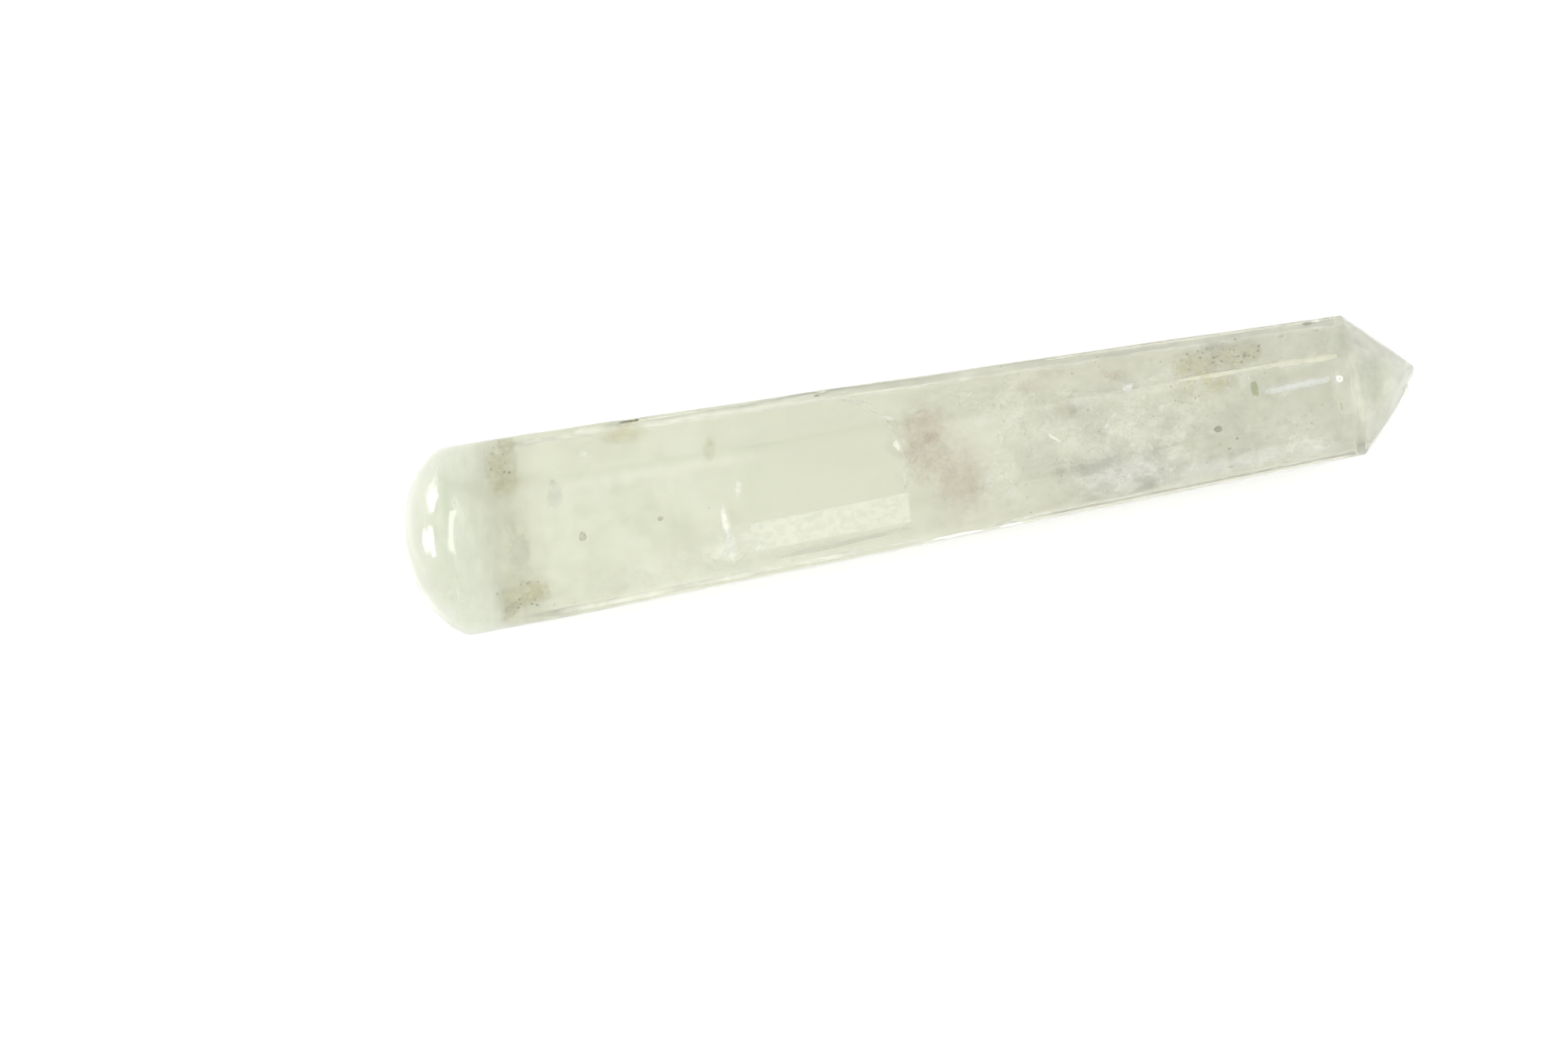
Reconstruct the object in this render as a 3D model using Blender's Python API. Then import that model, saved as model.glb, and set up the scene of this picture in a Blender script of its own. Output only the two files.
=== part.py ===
"""Quartz massage wand: one polished crystal with a rounded end, eight ground flats and a faceted point.

The wand lies along X on one of its flats, with the rounded end at -X and the point at +X. It is
made as a lapidary makes it: a rounded blank is turned, then the flats are ground, then the point.
Run with: blender --background --python part.py
"""

import math

import bmesh
import bpy
from mathutils import Matrix, Vector

# Driving dimensions, in metres. x is measured along the wand's axis from the rounded end.
ROUND_END_DEPTH = 0.0093  # axial depth of the rounded end
ROUND_END_RADIUS = 0.0135  # the rounded end's radius where it meets the body
BLANK_FLARE = 0.035  # how fast the blank widens behind the rounded end, so that the ridges fade in
POINT_BEGIN = 0.1310  # where the flats turn into the point
POINT_TIP = 0.1413  # where the faces of the point would meet
POINT_TIP_SIDE = 0.0003  # how far to +Y of the axis they would meet
SIDES = 8
APOTHEM_AT_ROUND_END = 0.0130  # axis to a flat, at the back of the rounded end
APOTHEM_AT_POINT = 0.00965  # axis to a flat, where the point begins

# A small worn face that blunts the point on its upper -Y side: a place on it, and the way it faces.
BLUNT_FACE_PLACE = Vector((0.1400, 0.0008, 0.0))
BLUNT_FACE_NORMAL = Vector((0.80, -0.47, 0.37))

# How finely the rounded end is divided.
STEPS_AROUND = 112
STEPS_ALONG_ROUND_END = 16

QUARTZ_COLOUR = (0.80, 0.83, 0.70, 1.0)
QUARTZ_ROUGHNESS = 0.08
QUARTZ_IOR = 1.544
QUARTZ_TRANSMISSION = 0.8


def body_taper():
    """How fast the flats close in on the axis, in metres per metre."""
    return (APOTHEM_AT_ROUND_END - APOTHEM_AT_POINT) / (POINT_BEGIN - ROUND_END_DEPTH)


def turn_blank(bm):
    """The rounded blank, turned about X: a quarter of an ellipse, then a straight flaring side."""
    last_angle = math.atan(BLANK_FLARE * ROUND_END_DEPTH / ROUND_END_RADIUS)
    profile = []
    for step in range(STEPS_ALONG_ROUND_END + 1):
        angle = math.pi / 2 + (last_angle - math.pi / 2) * step / STEPS_ALONG_ROUND_END
        along = ROUND_END_DEPTH * (1.0 - math.sin(angle))
        profile.append((along, ROUND_END_RADIUS * math.cos(angle)))
    along, out = profile[-1]
    profile.append((POINT_TIP, out + (POINT_TIP - along) * BLANK_FLARE))
    profile.append((POINT_TIP, 0.0))
    verts = [bm.verts.new((along, 0.0, out)) for along, out in profile]
    edges = [bm.edges.new(pair) for pair in zip(verts, verts[1:])]
    bmesh.ops.spin(
        bm,
        geom=verts + edges,
        cent=(0.0, 0.0, 0.0),
        axis=(1.0, 0.0, 0.0),
        angle=math.tau,
        steps=STEPS_AROUND,
        use_merge=True,
    )
    bmesh.ops.remove_doubles(bm, verts=bm.verts, dist=1e-7)


def grind_face(bm, place, normal):
    """Cuts off what lies beyond a plane and closes the cut with one flat face."""
    cut = bmesh.ops.bisect_plane(
        bm,
        geom=bm.verts[:] + bm.edges[:] + bm.faces[:],
        plane_co=place,
        plane_no=normal.normalized(),
        clear_outer=True,
    )
    rim = [item for item in cut["geom_cut"] if isinstance(item, bmesh.types.BMEdge)]
    bmesh.ops.contextual_create(bm, geom=rim)


def outward(angle):
    """The direction away from the axis, at an angle about it measured from straight down."""
    return Vector((0.0, math.sin(angle), -math.cos(angle)))


def grind_flats(bm):
    """The long flats. The first lies under the wand, so it becomes the face that it rests on."""
    for side in range(SIDES):
        away = outward(math.tau * side / SIDES)
        place = Vector((POINT_BEGIN, 0.0, 0.0)) + away * APOTHEM_AT_POINT
        grind_face(bm, place, away + Vector((body_taper(), 0.0, 0.0)))


def grind_point(bm):
    """One face of the point for each flat, then the worn face that blunts it."""
    tip = Vector((POINT_TIP, POINT_TIP_SIDE, 0.0))
    for side in range(SIDES):
        angle = math.tau * side / SIDES
        place = Vector((POINT_BEGIN, 0.0, 0.0)) + outward(angle) * APOTHEM_AT_POINT
        along_edge = outward(angle + math.pi / 2)
        grind_face(bm, place, along_edge.cross(tip - place))
    grind_face(bm, BLUNT_FACE_PLACE, BLUNT_FACE_NORMAL)


def lay_down(bm):
    """Turns the wand so that its lower flat lies on z = 0, and centres it on the origin."""
    turn = Matrix.Rotation(math.atan(body_taper()), 4, "Y")
    bmesh.ops.transform(bm, matrix=turn, verts=bm.verts)
    along = [vert.co.x for vert in bm.verts]
    across = [vert.co.y for vert in bm.verts]
    lowest = min(vert.co.z for vert in bm.verts)
    middle = Vector(((min(along) + max(along)) / 2, (min(across) + max(across)) / 2, lowest))
    bmesh.ops.translate(bm, vec=-middle, verts=bm.verts)


def crystal_mesh():
    """The closed surface of the wand."""
    bm = bmesh.new()
    turn_blank(bm)
    grind_flats(bm)
    grind_point(bm)
    lay_down(bm)
    bmesh.ops.dissolve_degenerate(bm, dist=1e-6, edges=bm.edges)
    bmesh.ops.recalc_face_normals(bm, faces=bm.faces)
    mesh = bpy.data.meshes.new("wand")
    bm.to_mesh(mesh)
    bm.free()
    return mesh


def quartz_material():
    """Polished, faintly milky quartz."""
    material = bpy.data.materials.new("quartz")
    material.use_nodes = True
    shader = material.node_tree.nodes["Principled BSDF"]
    shader.inputs["Base Color"].default_value = QUARTZ_COLOUR
    shader.inputs["Roughness"].default_value = QUARTZ_ROUGHNESS
    shader.inputs["Metallic"].default_value = 0.0
    shader.inputs["IOR"].default_value = QUARTZ_IOR
    shader.inputs["Transmission Weight"].default_value = QUARTZ_TRANSMISSION
    return material


def main():
    for old in list(bpy.data.objects):
        bpy.data.objects.remove(old, do_unlink=True)
    mesh = crystal_mesh()
    mesh.shade_smooth()
    mesh.set_sharp_from_angle(angle=math.radians(12))
    mesh.materials.append(quartz_material())
    wand = bpy.data.objects.new("wand", mesh)
    bpy.context.scene.collection.objects.link(wand)


main()
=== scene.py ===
"""Quartz wand: a hand-polished crystal with a rounded end, eight ground flats and a blunt point.

The wand lies along X on one of its flats. Lengths are in metres, and in millimetres in the tables.
"Along" is measured on the wand's own axis from the rounded end, "across" is sideways from the axis
and "up" is away from the flat that it rests on.
"""

import math

import bpy
import numpy as np
from bpy.props import FloatProperty, FloatVectorProperty, PointerProperty
from mathutils import Matrix, Vector


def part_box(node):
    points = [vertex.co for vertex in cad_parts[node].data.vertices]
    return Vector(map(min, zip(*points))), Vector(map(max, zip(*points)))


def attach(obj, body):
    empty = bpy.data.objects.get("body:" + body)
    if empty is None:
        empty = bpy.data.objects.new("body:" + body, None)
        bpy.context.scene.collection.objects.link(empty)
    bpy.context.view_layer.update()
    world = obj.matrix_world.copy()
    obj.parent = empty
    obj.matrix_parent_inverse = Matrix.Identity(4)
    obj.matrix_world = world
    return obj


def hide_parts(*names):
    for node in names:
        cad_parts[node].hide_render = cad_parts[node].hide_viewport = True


bl_info = {
    "name": "Quartz Wand",
    "version": (1, 0, 0),
    "blender": (4, 5, 0),
    "location": "3D View > Sidebar > Quartz Wand",
    "description": "Builds a polished quartz wand with its clouds, stains and specks",
    "category": "Add Mesh",
}

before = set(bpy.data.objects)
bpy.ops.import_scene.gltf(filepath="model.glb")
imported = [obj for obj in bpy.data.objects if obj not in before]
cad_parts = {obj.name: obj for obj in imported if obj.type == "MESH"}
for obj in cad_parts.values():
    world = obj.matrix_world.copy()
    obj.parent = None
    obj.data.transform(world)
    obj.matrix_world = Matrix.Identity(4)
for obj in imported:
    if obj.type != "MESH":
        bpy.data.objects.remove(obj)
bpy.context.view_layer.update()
LEFT_END = float(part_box("wand")[0][0])

SIDES = 8
BODY = "root"
MM = 0.001
FAR_OFF = 1.0  # the distance to a face that a ray doesn't meet
# The small worn face that blunts the point: a place on it and the way it faces.
WORN_FACE = np.array([(0.1400, 0.0008, 0.0), (0.80, -0.47, 0.37)])


# ---------------------------------------------------------------- settings


def length(name, description, default):
    """A setting in metres."""
    return FloatProperty(name=name, description=description, default=default, unit="LENGTH")


def tint(name, description, default):
    """A colour setting."""
    return FloatVectorProperty(
        name=name, description=description, default=default, subtype="COLOR", size=3, min=0.0, max=1.0
    )


class WandShape(bpy.types.PropertyGroup):
    """The sizes of the crystal's outside."""

    round_end_depth: length("Rounded end depth", "How far the rounded end reaches along", 0.0093)
    round_end_radius: length("Rounded end radius", "Its radius where it meets the body", 0.0135)
    blank_flare: FloatProperty(
        name="Blank flare",
        description="How fast the rounded blank widens behind the end, so that the ridges fade in",
        default=0.035,
    )
    apothem_at_round_end: length(
        "Apothem at rounded end", "Axis to a flat at the back of the rounded end", 0.0130
    )
    apothem_at_point: length("Apothem at point", "Axis to a flat where the point begins", 0.00965)
    point_begin: length("Point begins", "Where the flats turn into the point", 0.1310)
    point_tip: length("Point's tip", "Where the faces of the point would meet", 0.1413)
    tip_side: length("Tip's side", "How far to +Y of the axis they would meet", 0.0003)
    edge_crispness: FloatProperty(
        name="Edge crispness",
        description="The higher, the less the ridges are worn round",
        default=190.0,
        min=20.0,
    )
    waviness: FloatProperty(
        name="Hand-ground waviness",
        description="How far the flats depart from true, as a share of the distance to the axis",
        default=0.004,
        subtype="FACTOR",
    )


class WandLook(bpy.types.PropertyGroup):
    """The colours of the crystal and of what is inside it."""

    quartz: tint("Quartz", "Tint of the crystal", (0.914, 0.927, 0.806))
    smoke: tint("Smoke", "Tint of the greyer half towards the point", (0.935, 0.938, 0.82))
    stain: tint("Stain", "Olive-brown mineral stain", (0.66, 0.62, 0.36))
    rust: tint("Rust", "Reddish-brown iron stain", (0.73, 0.63, 0.48))
    grey: tint("Grey", "Grey, slightly cool haze", (0.60, 0.62, 0.57))
    # Painted shade: the tint of the dark line along the outline.
    rim: tint("Rim", "Darker line along the outline", (0.34, 0.35, 0.26))
    green: tint("Green", "Green mineral traces", (0.55, 0.68, 0.44))
    cloud: tint("Cloud", "Milky white clouds", (0.99, 0.99, 0.97))
    speck: tint("Speck", "Dark mineral grains", (0.12, 0.13, 0.06))
    # Also the tint of the mirror pieces that paint highlights and glints.
    glint: tint("Glint", "Silvery cracks that catch the light", (0.97, 0.98, 0.93))
    milkiness: FloatProperty(
        name="Milkiness", description="Share of the light that the crystal scatters",
        default=0.20, min=0.0, max=1.0, subtype="FACTOR",
    )


class StageLook(bpy.types.PropertyGroup):
    """The floor, the light and the camera."""

    floor: tint("Floor", "Colour of the floor", (0.93, 0.93, 0.93))
    sky: FloatProperty(
        name="Sky", description="Brightness of the even light all round", default=1.11, min=0.0
    )
    lens: FloatProperty(name="Lens", description="Focal length in mm", default=100.0)
    camera_distance: length("Camera distance", "Camera to the wand", 0.596)


# ---------------------------------------------------------------- helpers


def shape():
    """The settings of the wand's outside."""
    return bpy.context.scene.wand_shape


def look():
    """The settings of the wand's colours."""
    return bpy.context.scene.wand_look


def ripple(points, size, seed, layers=5):
    """A smooth random field between about -1 and 1: the sum of sines of random direction and phase,
    whose wavelengths run from size down to half of it, divided by the root of their number."""
    rng = np.random.default_rng(seed)
    points = np.asarray(points)
    total = np.zeros(points.shape[:-1])
    for _ in range(layers):
        way = rng.normal(size=points.shape[-1])
        way *= 2 * np.pi / (size * rng.uniform(0.5, 1.0) * np.linalg.norm(way))
        total += np.sin(points @ way + rng.uniform(0, 2 * np.pi))
    return total / math.sqrt(layers)


def ease(value, low, high):
    """0 below low, 1 above high and 3v^2 - 2v^3 between."""
    share = np.clip((value - low) / (high - low), 0.0, 1.0)
    return share * share * (3 - 2 * share)


def filled(table, size, *defaults):
    """A table's rows of at least size values, with what they leave out at the end filled in."""
    return [(*row, *defaults[len(row) - size:]) for row in table]


# ---------------------------------------------------------------- the wand's form


def taper():
    """How fast the flats close in on the axis: the loss of apothem over the body's length."""
    s = shape()
    return (s.apothem_at_round_end - s.apothem_at_point) / (s.point_begin - s.round_end_depth)


def apothem(along):
    """Axis to a flat: a straight line in the distance along the axis."""
    s = shape()
    return s.apothem_at_point + (s.point_begin - np.asarray(along)) * taper()


def lay_down(points):
    """From the wand's own axis to where it lies: a turn about Y by the taper's angle, then a shift
    that puts the rounded end and the lower flat where the CAD solid has them."""
    s = shape()
    angle = math.atan(taper())
    along, across, up = (np.asarray(points)[..., i] for i in range(3))
    x = along * math.cos(angle) + up * math.sin(angle)
    z = up * math.cos(angle) - along * math.sin(angle)
    rest = apothem(0.0) * math.cos(angle)
    # The end's leftmost point on the turned ellipse is a hair left of the axis's own end.
    reach = math.hypot(s.round_end_depth * math.cos(angle), s.round_end_radius * math.sin(angle))
    left = s.round_end_depth * math.cos(angle) - reach
    return np.stack([x - left + LEFT_END, across, z + rest], axis=-1)


def crystal_planes():
    """The outward normals of the crystal's faces and their distances from the rounded end's pole:
    eight flats tilted by the taper, eight faces of the point through the flats' far edges and the
    tip, and the small worn face."""
    s = shape()
    angles = 2 * np.pi * np.arange(SIDES) / SIDES
    out = np.stack([np.zeros(SIDES), np.sin(angles), -np.cos(angles)], axis=-1)
    side = np.stack([np.zeros(SIDES), np.cos(angles), np.sin(angles)], axis=-1)
    base = out * s.apothem_at_point + [s.point_begin, 0.0, 0.0]
    flats = out + [taper(), 0.0, 0.0]
    point = np.cross(side, [s.point_tip, s.tip_side, 0.0] - base)
    normals = np.concatenate([flats, point, WORN_FACE[1:]])
    normals /= np.linalg.norm(normals, axis=-1, keepdims=True)
    places = np.concatenate([base, base, WORN_FACE[:1]])
    return normals, (normals * places).sum(axis=-1)


def face_reach(room, facing):
    """How far each face is: its room / the ray's share of the way towards it."""
    return np.where(facing > 1e-6, room / np.maximum(facing, 1e-6), FAR_OFF)


def blank_radius(along):
    """The turned blank: an ellipse's radius x sqrt(1 - (distance from its middle / its depth)^2)
    at the rounded end, then a straight line that opens by the flare."""
    s = shape()
    back = np.clip((s.round_end_depth - along) / s.round_end_depth, 0.0, 1.0)
    cone = s.blank_flare * np.maximum(along - s.round_end_depth, 0.0)
    return s.round_end_radius * np.sqrt(1 - back ** 2) + cone


def section(along, angle):
    """Axis to the surface, square to the axis, at an angle round it measured from straight down:
    the least of the distances to the faces and to the turned blank."""
    along, angle = np.broadcast_arrays(along, angle)
    normals, offsets = crystal_planes()
    way = np.stack([np.zeros(angle.shape), np.sin(angle), -np.cos(angle)], axis=-1)
    reach = face_reach(offsets - along[..., None] * normals[:, 0], way @ normals.T)
    return np.minimum(reach.min(axis=-1), blank_radius(along))


def skin(along, angle, depth):
    """Points at a depth under the surface: (section - depth) x the way out at that angle."""
    out = section(along, angle) - depth
    along, angle, out = np.broadcast_arrays(along, angle, out)
    return np.stack([along, out * np.sin(angle), -out * np.cos(angle)], axis=-1)


def under(along, across, depth, level=1.0):
    """Points seen from above at a place along and across. Level 1 is at the depth under the upper
    faces, 0 is in the axis's plane and -1 is at the depth above the lower faces: height = level x
    the least height of the upper faces and the blank, each moved inwards by the depth."""
    along, across, depth, level = np.broadcast_arrays(along, across, depth, level)
    limit = section(along, np.pi / 2) - depth
    across = np.clip(across, -limit, limit)
    normals, offsets = crystal_planes()
    upper = normals[:, 2] > 0.2  # the faces that look upwards
    tops = offsets[upper] - depth[..., None] - along[..., None] * normals[upper, 0]
    tops = (tops - across[..., None] * normals[upper, 1]) / normals[upper, 2]
    dome = np.sqrt(np.maximum((blank_radius(along) - depth) ** 2 - across ** 2, 0.0))
    height = np.minimum(tops.min(axis=-1), dome)
    return np.stack([along, across, level * np.maximum(height, 0.0)], axis=-1)


# ---------------------------------------------------------------- making pieces


def mesh_piece(name, points, faces, material, **attributes):
    """A smooth piece from points of the wand as it lies, faces, a finish and per-point values."""
    mesh = bpy.data.meshes.new(name)
    mesh.from_pydata(points.reshape(-1, 3).tolist(), [], faces)
    mesh.validate()
    mesh.polygons.foreach_set("use_smooth", np.ones(len(mesh.polygons), dtype=bool))
    for key, values in attributes.items():
        layer = mesh.attributes.new(key, "FLOAT", "POINT")
        layer.data.foreach_set("value", np.asarray(values, dtype=np.float32).ravel())
    mesh.materials.append(material)
    piece = bpy.data.objects.new(name, mesh)
    bpy.context.scene.collection.objects.link(piece)
    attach(piece, BODY)
    return piece


def grid_faces(rows, columns, wrap=False):
    """Quads of a grid of rows x columns points, joined across the seam if wrap is set."""
    index = np.arange(rows * columns).reshape(rows, columns)
    if wrap:
        index = np.concatenate([index, index[:, :1]], axis=1)
    corners = (index[:-1, :-1], index[:-1, 1:], index[1:, 1:], index[1:, :-1])
    return np.stack(corners, axis=-1).reshape(-1, 4)


def capped_faces(rings, around):
    """Faces of rings of points that close on two poles. The poles are the last two points."""
    first = np.arange(around)
    after, last, pole = np.roll(first, -1), (rings - 1) * around, rings * around
    faces = grid_faces(rings, around, wrap=True).tolist()
    faces += [(pole, int(b), int(a)) for a, b in zip(first, after)]
    return faces + [(pole + 1, int(a) + last, int(b) + last) for a, b in zip(first, after)]


def sheet(name, points, material, thickness, wrap=False):
    """A piece from one grid of points on the wand's own axis, with its thickness at each."""
    faces = grid_faces(*points.shape[:2], wrap=wrap).tolist()
    return mesh_piece(name, lay_down(points), faces, material, thickness=thickness)


class Field:
    """A value that changes over a surface. Arithmetic on it makes the shader nodes."""

    def __init__(self, nodes, socket):
        self.nodes, self.socket = nodes, socket

    def __add__(self, other):
        return self.nodes.math("ADD", self, other)

    def __sub__(self, other):
        return self.nodes.math("SUBTRACT", self, other)

    def __rsub__(self, other):
        return self.nodes.math("SUBTRACT", other, self)

    def __mul__(self, other):
        return self.nodes.math("MULTIPLY", self, other)

    def times(self, factor, plus):
        """The value x factor + plus, in one node."""
        return self.nodes.math("MULTIPLY_ADD", self, factor, plus)

    def at_most(self, limit):
        """The lesser of the value and a limit."""
        return self.nodes.math("MINIMUM", self, limit)

    def clamped(self):
        """The value kept from 0 to 1, by the node that gives it."""
        self.socket.node.use_clamp = True
        return self

    def spread(self, low, high, to_low=0.0, to_high=1.0):
        """Maps low..high to to_low..to_high along an S-shaped curve."""
        return self.nodes.field("MapRange", "Result", interpolation_type="SMOOTHSTEP", Value=self,
                                From_Min=low, From_Max=high, To_Min=to_low, To_Max=to_high)


class Nodes:
    """A finish's material, and short names for the nodes that it is made of."""

    def __init__(self, name):
        self.material = bpy.data.materials.new(name)
        self.material.use_nodes = True
        self.tree = self.material.node_tree
        self.shader = self.tree.nodes["Principled BSDF"]
        self.coords = self.field("TexCoord", "Object")

    def add(self, kind, **values):
        """A node with its settings and inputs; an underscore in an input's name is a space."""
        node = self.tree.nodes.new("ShaderNode" + kind)
        for key, value in values.items():
            if key.replace("_", " ") in node.inputs:
                self.put(node.inputs[key.replace("_", " ")], value)
            else:
                setattr(node, key, value)
        return node

    def field(self, kind, output, **values):
        """One output of a new node."""
        return Field(self, self.add(kind, **values).outputs[output])

    def put(self, socket, value):
        """Links a field to a socket, or sets the socket. A tint gets its alpha of 1."""
        if isinstance(value, Field):
            self.tree.links.new(value.socket, socket)
        else:
            socket.default_value = (*value, 1.0) if socket.type == "RGBA" else value

    def set(self, **values):
        """Sets the shader's sockets."""
        for key, value in values.items():
            self.put(self.shader.inputs[key.replace("_", " ")], value)

    def math(self, operation, *values):
        """A math node on fields or numbers."""
        node = self.add("Math", operation=operation)
        for socket, value in zip(node.inputs, values):
            self.put(socket, value)
        return Field(self, node.outputs[0])

    def noise(self, scale, detail=3.0, roughness=0.55, stretch=(1, 1, 1), shift=(0, 0, 0), bend=0.0):
        """Fractal noise on the object's own coordinates, in features of 1 / scale metres."""
        place = self.field("Mapping", 0, Vector=self.coords, Location=shift, Scale=stretch)
        return self.field("TexNoise", "Fac", Vector=place, Scale=scale, Detail=detail,
                          Roughness=roughness, Distortion=bend)

    def along(self):
        """The distance along the wand from the rounded end."""
        return self.field("SeparateXYZ", "X", Vector=self.coords) - LEFT_END

    def attribute(self, name):
        """A per-point value of the piece."""
        return self.field("Attribute", "Fac", attribute_name=name)

    def mix(self, share, first, second):
        """Two tints mixed by a share, which is the Mix node's first input; they are its 7th and 8th."""
        node = self.add("Mix", data_type="RGBA")
        for index, value in ((0, share), (6, first), (7, second)):
            self.put(node.inputs[index], value)
        return Field(self, node.outputs[2])

    def bump(self, height, distance, strength):
        """Fine relief that only the shading shows."""
        self.set(Normal=self.field("Bump", 0, Height=height, Distance=distance, Strength=strength))


# ---------------------------------------------------------------- the crystal's outside


def crystal_rays():
    """Where the surface is looked for: rays from the axis. They fan out from one point inside the
    rounded end, leave the body square to the axis, and fan in again at the point. Returns the rays'
    starts and their angle from the axis, row by row, and the angles round the axis. Those crowd at
    the ridges: side angle + half a side x sin(a quarter turn x share)."""
    s = shape()
    square, per_side, fan_rows, edge_rows, tip_rows = np.pi / 2, 20, 57, 12, 65
    turned_to, edge_from = 0.030, s.point_begin - 0.0012
    fan = np.linspace(np.pi, square, fan_rows + 1)[:-1]
    body = np.concatenate([np.arange(s.round_end_depth, turned_to, 0.00035),
                           np.arange(turned_to, edge_from, 0.00040),
                           np.linspace(edge_from, s.point_begin, edge_rows)])
    tip = square * (1 - np.linspace(0, 1, tip_rows + 1)[1:] ** 1.25)
    starts = np.concatenate([np.full(fan.size, s.round_end_depth), body,
                             np.full(tip.size, s.point_begin)])
    leans = np.concatenate([fan, np.full(body.size, square), tip])
    share = -1 + 2 * np.arange(per_side) / per_side
    half = np.pi / SIDES
    rounds = np.arange(SIDES)[:, None] * 2 * half + half * np.sin(square * share)
    return starts, leans, rounds.ravel()


def ground_reach(start, way):
    """The distance along each ray to every ground face, changed by a slow ripple of the face's own,
    as hand grinding leaves it, and the places where the rays would meet true flats."""
    normals, offsets = crystal_planes()
    reach = face_reach(offsets - start @ normals.T, way @ normals.T)
    farthest = 0.02  # the rays at the tip meet the flats far off, or never
    true = start + way * np.minimum(reach[..., :SIDES].min(axis=-1), farthest)[..., None]
    for face in range(reach.shape[-1]):
        size, strength = (0.034, 1.0) if face < SIDES else (0.012, 0.5)
        wave = ripple(true * [1.0, 0.6, 0.6], size, seed=face + 3)
        reach[..., face] *= 1 + shape().waviness * wave * strength
    return reach, true


def turned_reach(start, way, leans, true):
    """The distance along each ray to the turned blank: an ellipse of revolution at the rounded end,
    then a cone that opens slowly, with a slow ripple and fine rings left by the turning."""
    s = shape()
    pitch = 0.00115
    rings = 0.0007 * np.sin(true[..., 0] / pitch * 2 * np.pi + 1.5 * ripple(true, 0.012, 41))
    end = 1 / np.sqrt((way[..., 0] / s.round_end_depth) ** 2
                      + (1 - way[..., 0] ** 2) / s.round_end_radius ** 2)
    cone = s.round_end_radius + s.blank_flare * (start[..., 0] - s.round_end_depth)
    blank = np.where(leans > np.pi / 2, end, cone) * (1 + 0.006 * ripple(true, 0.011, 57) + rings)
    return np.where(leans < np.pi / 2, FAR_OFF, blank)


def crystal_surface():
    """Points of the outside, row by row. Each ray meets every face at its own distance; the surface
    is at (sum of distance^-p)^(-1/p), the least distance with the edges worn round, and the ridges
    are worn rounder towards the rounded end."""
    starts, leans, rounds = crystal_rays()
    leans = leans[:, None]
    way = np.stack([np.cos(leans) + 0 * rounds, np.sin(leans) * np.sin(rounds),
                    -np.sin(leans) * np.cos(rounds)], axis=-1)
    start = np.zeros_like(way)
    start[..., 0] = starts[:, None]
    ground, true = ground_reach(start, way)
    reach = np.concatenate([ground, turned_reach(start, way, leans, true)[..., None]], axis=-1)
    least = reach.min(axis=-1, keepdims=True)
    worn = 0.35  # how crisp the ridges are near the rounded end, next to those near the point
    crisp = worn + (1 - worn) * ease(true[..., 0], 0.070, 0.108)
    power = shape().edge_crispness * (crisp * (1 + 0.3 * ripple(true, 0.02, 77)))[..., None]
    distance = least[..., 0] * ((reach / least) ** -power).sum(axis=-1) ** (-1 / power[..., 0])
    return start + way * (distance - chips(start, rounds))[..., None]


# Nicks in millimetres: along, the ridge counted round from below towards +Y, half length, depth.
CHIPS = (
    (33.4, 2, 1.2, 0.16), (59.3, 2, 0.6, 0.1), (127.5, 2, 0.7, 0.18), (71.5, 5, 0.9, 0.12),
    (96.5, 6, 0.7, 0.1), (48, 1, 0.8, 0.12), (108, 4, 0.6, 0.1),
)


def chips(start, rounds):
    """How deep the nicks on the ridges are: bell curves in the distance along and round the ridge."""
    depth = np.zeros(start.shape[:-1])
    radius = 0.011
    for along, ridge, size, deep in CHIPS:
        angle = 2 * np.pi / SIDES * (ridge + 0.5)
        turned = np.angle(np.exp(1j * (rounds - angle))) * radius / MM
        away = (start[..., 0] / MM - along) ** 2 / size ** 2 + turned ** 2 / (0.6 * size) ** 2
        depth += deep * MM * np.exp(-away)
    return depth


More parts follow.
